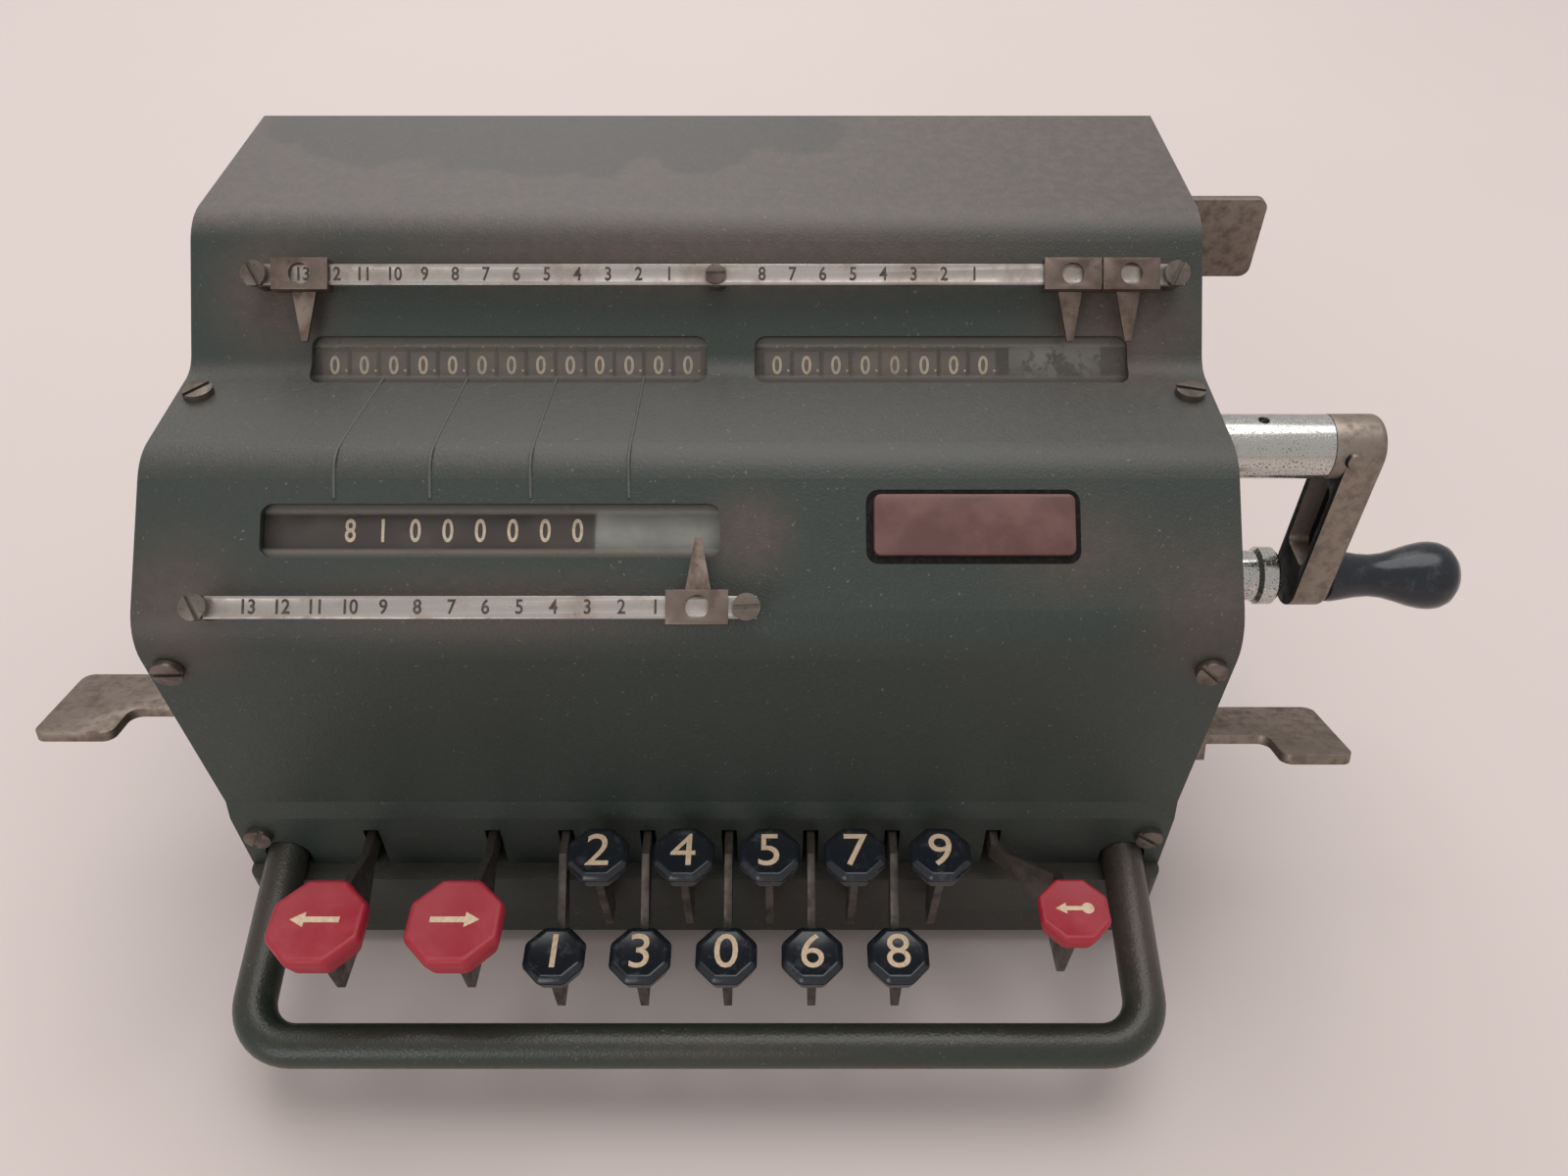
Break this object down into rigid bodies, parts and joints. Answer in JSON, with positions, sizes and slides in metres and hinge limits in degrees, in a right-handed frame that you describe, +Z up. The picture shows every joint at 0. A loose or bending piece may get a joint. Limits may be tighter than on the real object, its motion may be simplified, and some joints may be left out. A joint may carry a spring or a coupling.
{
  "type": "mechanical adding machine",
  "caption": "Hand-cranked mechanical adding machine: sloped sheet-metal body with register windows, two-row digit keyboard, sliding markers, clearing levers and a front hand rail.",
  "frame": {"origin": "middle of the footprint's bounding box, on the table under the rubber feet", "axes": "+X to the operator's right, towards the crank; +Y to the back; +Z up"},
  "size_m": [0.3422, 0.1916, 0.165],
  "materials": {
    "green_enamel": "dark grey-green baked enamel, fine grain",
    "dark_enamel": "dark grey-green enamel, worn brown",
    "worn_nickel": "worn and pitted nickel",
    "bright_chrome": "polished, with pitting",
    "steel": "dull oiled steel",
    "brown_steel": "oxidised brown",
    "black_plastic": "glossy black",
    "red_plastic": "crimson, worn matte",
    "rubber": "black",
    "celluloid": "clear, yellowed",
    "number_wheel": "dark brown with cream figures",
    "plate_red": "brownish red, bare"
  },
  "bodies": {
    "machine": {"base_frame": "dark_enamel", "bottom_pan": "dark_enamel", "rubber_feet": "rubber", "front_rail": "dark_enamel", "left_side_plate": "green_enamel", "right_side_plate": "green_enamel", "front_cover": "green_enamel", "name_plate": "plate_red", "rear_cover": "green_enamel", "slotted_screws": "bright_chrome", "upper_marker_bar": "worn_nickel", "lower_marker_bar": "worn_nickel", "register_window": "celluloid", "setting_window": "celluloid", "register_shaft": "steel", "key_shaft": "steel", "crank_bearing": "bright_chrome", "rest_stud": "bright_chrome"},
    "crank": {"crank_shaft": "steel", "crank_arm": "brown_steel", "handle_spindle": "steel"},
    "handle": {"crank_handle": "black_plastic"},
    "rotor": {"rotor_shaft": "steel"},
    "drum": {"setting_drum": "number_wheel"},
    "accumulator": {"accumulator_wheels": "number_wheel"},
    "counter": {"counter_wheels": "number_wheel"},
    "counter_units": {"counter_units_wheel": "number_wheel"},
    "left_lever": {"left_clearing_lever": "worn_nickel"},
    "right_lever": {"right_clearing_lever": "worn_nickel"},
    "top_lever": {"top_clearing_lever": "worn_nickel"},
    "marker_accumulator": {"accumulator_marker": "brown_steel"},
    "marker_outer": {"counter_marker_outer": "brown_steel"},
    "marker_inner": {"counter_marker_inner": "brown_steel"},
    "marker_setting": {"setting_marker": "brown_steel"},
    "key_one": {"key_lever_one": "steel", "key_cap_one": "black_plastic"},
    "key_two": {"key_lever_two": "steel", "key_cap_two": "black_plastic"},
    "key_three": {"key_lever_three": "steel", "key_cap_three": "black_plastic"},
    "key_four": {"key_lever_four": "steel", "key_cap_four": "black_plastic"},
    "key_zero": {"key_lever_zero": "steel", "key_cap_zero": "black_plastic"},
    "key_five": {"key_lever_five": "steel", "key_cap_five": "black_plastic"},
    "key_six": {"key_lever_six": "steel", "key_cap_six": "black_plastic"},
    "key_seven": {"key_lever_seven": "steel", "key_cap_seven": "black_plastic"},
    "key_eight": {"key_lever_eight": "steel", "key_cap_eight": "black_plastic"},
    "key_nine": {"key_lever_nine": "steel", "key_cap_nine": "black_plastic"},
    "key_shift_left": {"key_lever_shift_left": "steel", "key_cap_shift_left": "red_plastic"},
    "key_shift_right": {"key_lever_shift_right": "steel", "key_cap_shift_right": "red_plastic"},
    "key_clear": {"key_lever_clear": "steel", "key_cap_clear": "red_plastic"}
  },
  "joints": [
    {"name": "crank_turn", "type": "hinge", "parent": "machine", "child": "crank", "pos_m": [0.13, 0.00766, 0.12318], "axis": [-1, 0, 0], "continuous": true},
    {"name": "handle_spin", "type": "hinge", "parent": "crank", "child": "handle", "pos_m": [0.15, 0.00766, 0.08178], "axis": [1, 0, 0], "continuous": true},
    {"name": "rotor_turn", "type": "hinge", "parent": "machine", "child": "rotor", "pos_m": [0, -0.00799, 0.10498], "axis": [-1, 0, 0], "continuous": true},
    {"name": "drum_shift", "type": "slide", "parent": "rotor", "child": "drum", "axis": [1, 0, 0], "range_m": [-0.0136, 0.0408]},
    {"name": "accumulator_turn", "type": "hinge", "parent": "machine", "child": "accumulator", "pos_m": [-0.06, 0.02603, 0.13101], "axis": [1, 0, 0], "continuous": true},
    {"name": "counter_turn", "type": "hinge", "parent": "machine", "child": "counter", "pos_m": [0.02, 0.02603, 0.13101], "axis": [1, 0, 0], "continuous": true},
    {"name": "counter_units_turn", "type": "hinge", "parent": "machine", "child": "counter_units", "pos_m": [0.045, 0.02603, 0.13101], "axis": [-1, 0, 0], "continuous": true},
    {"name": "left_lever_pull", "type": "hinge", "parent": "machine", "child": "left_lever", "pos_m": [-0.1367, 0.01, 0.064], "axis": [1, 0, 0], "range_deg": [0, 30], "stiffness_Nm_per_rad": 0.25, "springref_deg": -20.05},
    {"name": "right_lever_pull", "type": "hinge", "parent": "machine", "child": "right_lever", "pos_m": [0.0953, 0.01, 0.051], "axis": [1, 0, 0], "range_deg": [0, 30], "stiffness_Nm_per_rad": 0.25, "springref_deg": -20.05},
    {"name": "top_lever_pull", "type": "hinge", "parent": "machine", "child": "top_lever", "pos_m": [0.0953, 0.0625, 0.109], "axis": [1, 0, 0], "range_deg": [0, 40], "stiffness_Nm_per_rad": 0.25, "springref_deg": -20.05},
    {"name": "accumulator_marker_slide", "type": "slide", "parent": "machine", "child": "marker_accumulator", "axis": [1, 0, 0], "range_m": [0, 0.082]},
    {"name": "outer_marker_slide", "type": "slide", "parent": "machine", "child": "marker_outer", "axis": [1, 0, 0], "range_m": [-0.034, 0]},
    {"name": "inner_marker_slide", "type": "slide", "parent": "marker_outer", "child": "marker_inner", "axis": [1, 0, 0], "range_m": [-0.034, 0]},
    {"name": "setting_marker_slide", "type": "slide", "parent": "machine", "child": "marker_setting", "axis": [1, 0, 0], "range_m": [-0.087, 0]},
    {"name": "key_one_press", "type": "hinge", "parent": "machine", "child": "key_one", "pos_m": [0, 0.027, 0.041], "axis": [1, 0, 0], "range_deg": [0, 4.5], "stiffness_Nm_per_rad": 0.6, "springref_deg": -8.59},
    {"name": "key_two_press", "type": "hinge", "parent": "machine", "child": "key_two", "pos_m": [0, 0.027, 0.041], "axis": [1, 0, 0], "range_deg": [0, 4.5], "stiffness_Nm_per_rad": 0.6, "springref_deg": -8.59},
    {"name": "key_three_press", "type": "hinge", "parent": "machine", "child": "key_three", "pos_m": [0, 0.027, 0.041], "axis": [1, 0, 0], "range_deg": [0, 4.5], "stiffness_Nm_per_rad": 0.6, "springref_deg": -8.59},
    {"name": "key_four_press", "type": "hinge", "parent": "machine", "child": "key_four", "pos_m": [0, 0.027, 0.041], "axis": [1, 0, 0], "range_deg": [0, 4.5], "stiffness_Nm_per_rad": 0.6, "springref_deg": -8.59},
    {"name": "key_zero_press", "type": "hinge", "parent": "machine", "child": "key_zero", "pos_m": [0, 0.027, 0.041], "axis": [1, 0, 0], "range_deg": [0, 4.5], "stiffness_Nm_per_rad": 0.6, "springref_deg": -8.59},
    {"name": "key_five_press", "type": "hinge", "parent": "machine", "child": "key_five", "pos_m": [0, 0.027, 0.041], "axis": [1, 0, 0], "range_deg": [0, 4.5], "stiffness_Nm_per_rad": 0.6, "springref_deg": -8.59},
    {"name": "key_six_press", "type": "hinge", "parent": "machine", "child": "key_six", "pos_m": [0, 0.027, 0.041], "axis": [1, 0, 0], "range_deg": [0, 4.5], "stiffness_Nm_per_rad": 0.6, "springref_deg": -8.59},
    {"name": "key_seven_press", "type": "hinge", "parent": "machine", "child": "key_seven", "pos_m": [0, 0.027, 0.041], "axis": [1, 0, 0], "range_deg": [0, 4.5], "stiffness_Nm_per_rad": 0.6, "springref_deg": -8.59},
    {"name": "key_eight_press", "type": "hinge", "parent": "machine", "child": "key_eight", "pos_m": [0, 0.027, 0.041], "axis": [1, 0, 0], "range_deg": [0, 4.5], "stiffness_Nm_per_rad": 0.6, "springref_deg": -8.59},
    {"name": "key_nine_press", "type": "hinge", "parent": "machine", "child": "key_nine", "pos_m": [0, 0.027, 0.041], "axis": [1, 0, 0], "range_deg": [0, 4.5], "stiffness_Nm_per_rad": 0.6, "springref_deg": -8.59},
    {"name": "key_shift_left_press", "type": "hinge", "parent": "machine", "child": "key_shift_left", "pos_m": [0, 0.027, 0.041], "axis": [1, 0, 0], "range_deg": [0, 4.5], "stiffness_Nm_per_rad": 0.6, "springref_deg": -8.59},
    {"name": "key_shift_right_press", "type": "hinge", "parent": "machine", "child": "key_shift_right", "pos_m": [0, 0.027, 0.041], "axis": [1, 0, 0], "range_deg": [0, 4.5], "stiffness_Nm_per_rad": 0.6, "springref_deg": -8.59},
    {"name": "key_clear_press", "type": "hinge", "parent": "machine", "child": "key_clear", "pos_m": [0, 0.027, 0.041], "axis": [1, 0, 0], "range_deg": [0, 4.5], "stiffness_Nm_per_rad": 0.6, "springref_deg": -8.59}
  ],
  "couplings": [
    {"joint": "rotor_turn", "follows": "crank_turn", "ratio": -1},
    {"joint": "counter_units_turn", "follows": "crank_turn", "ratio": 0.1}
  ]
}
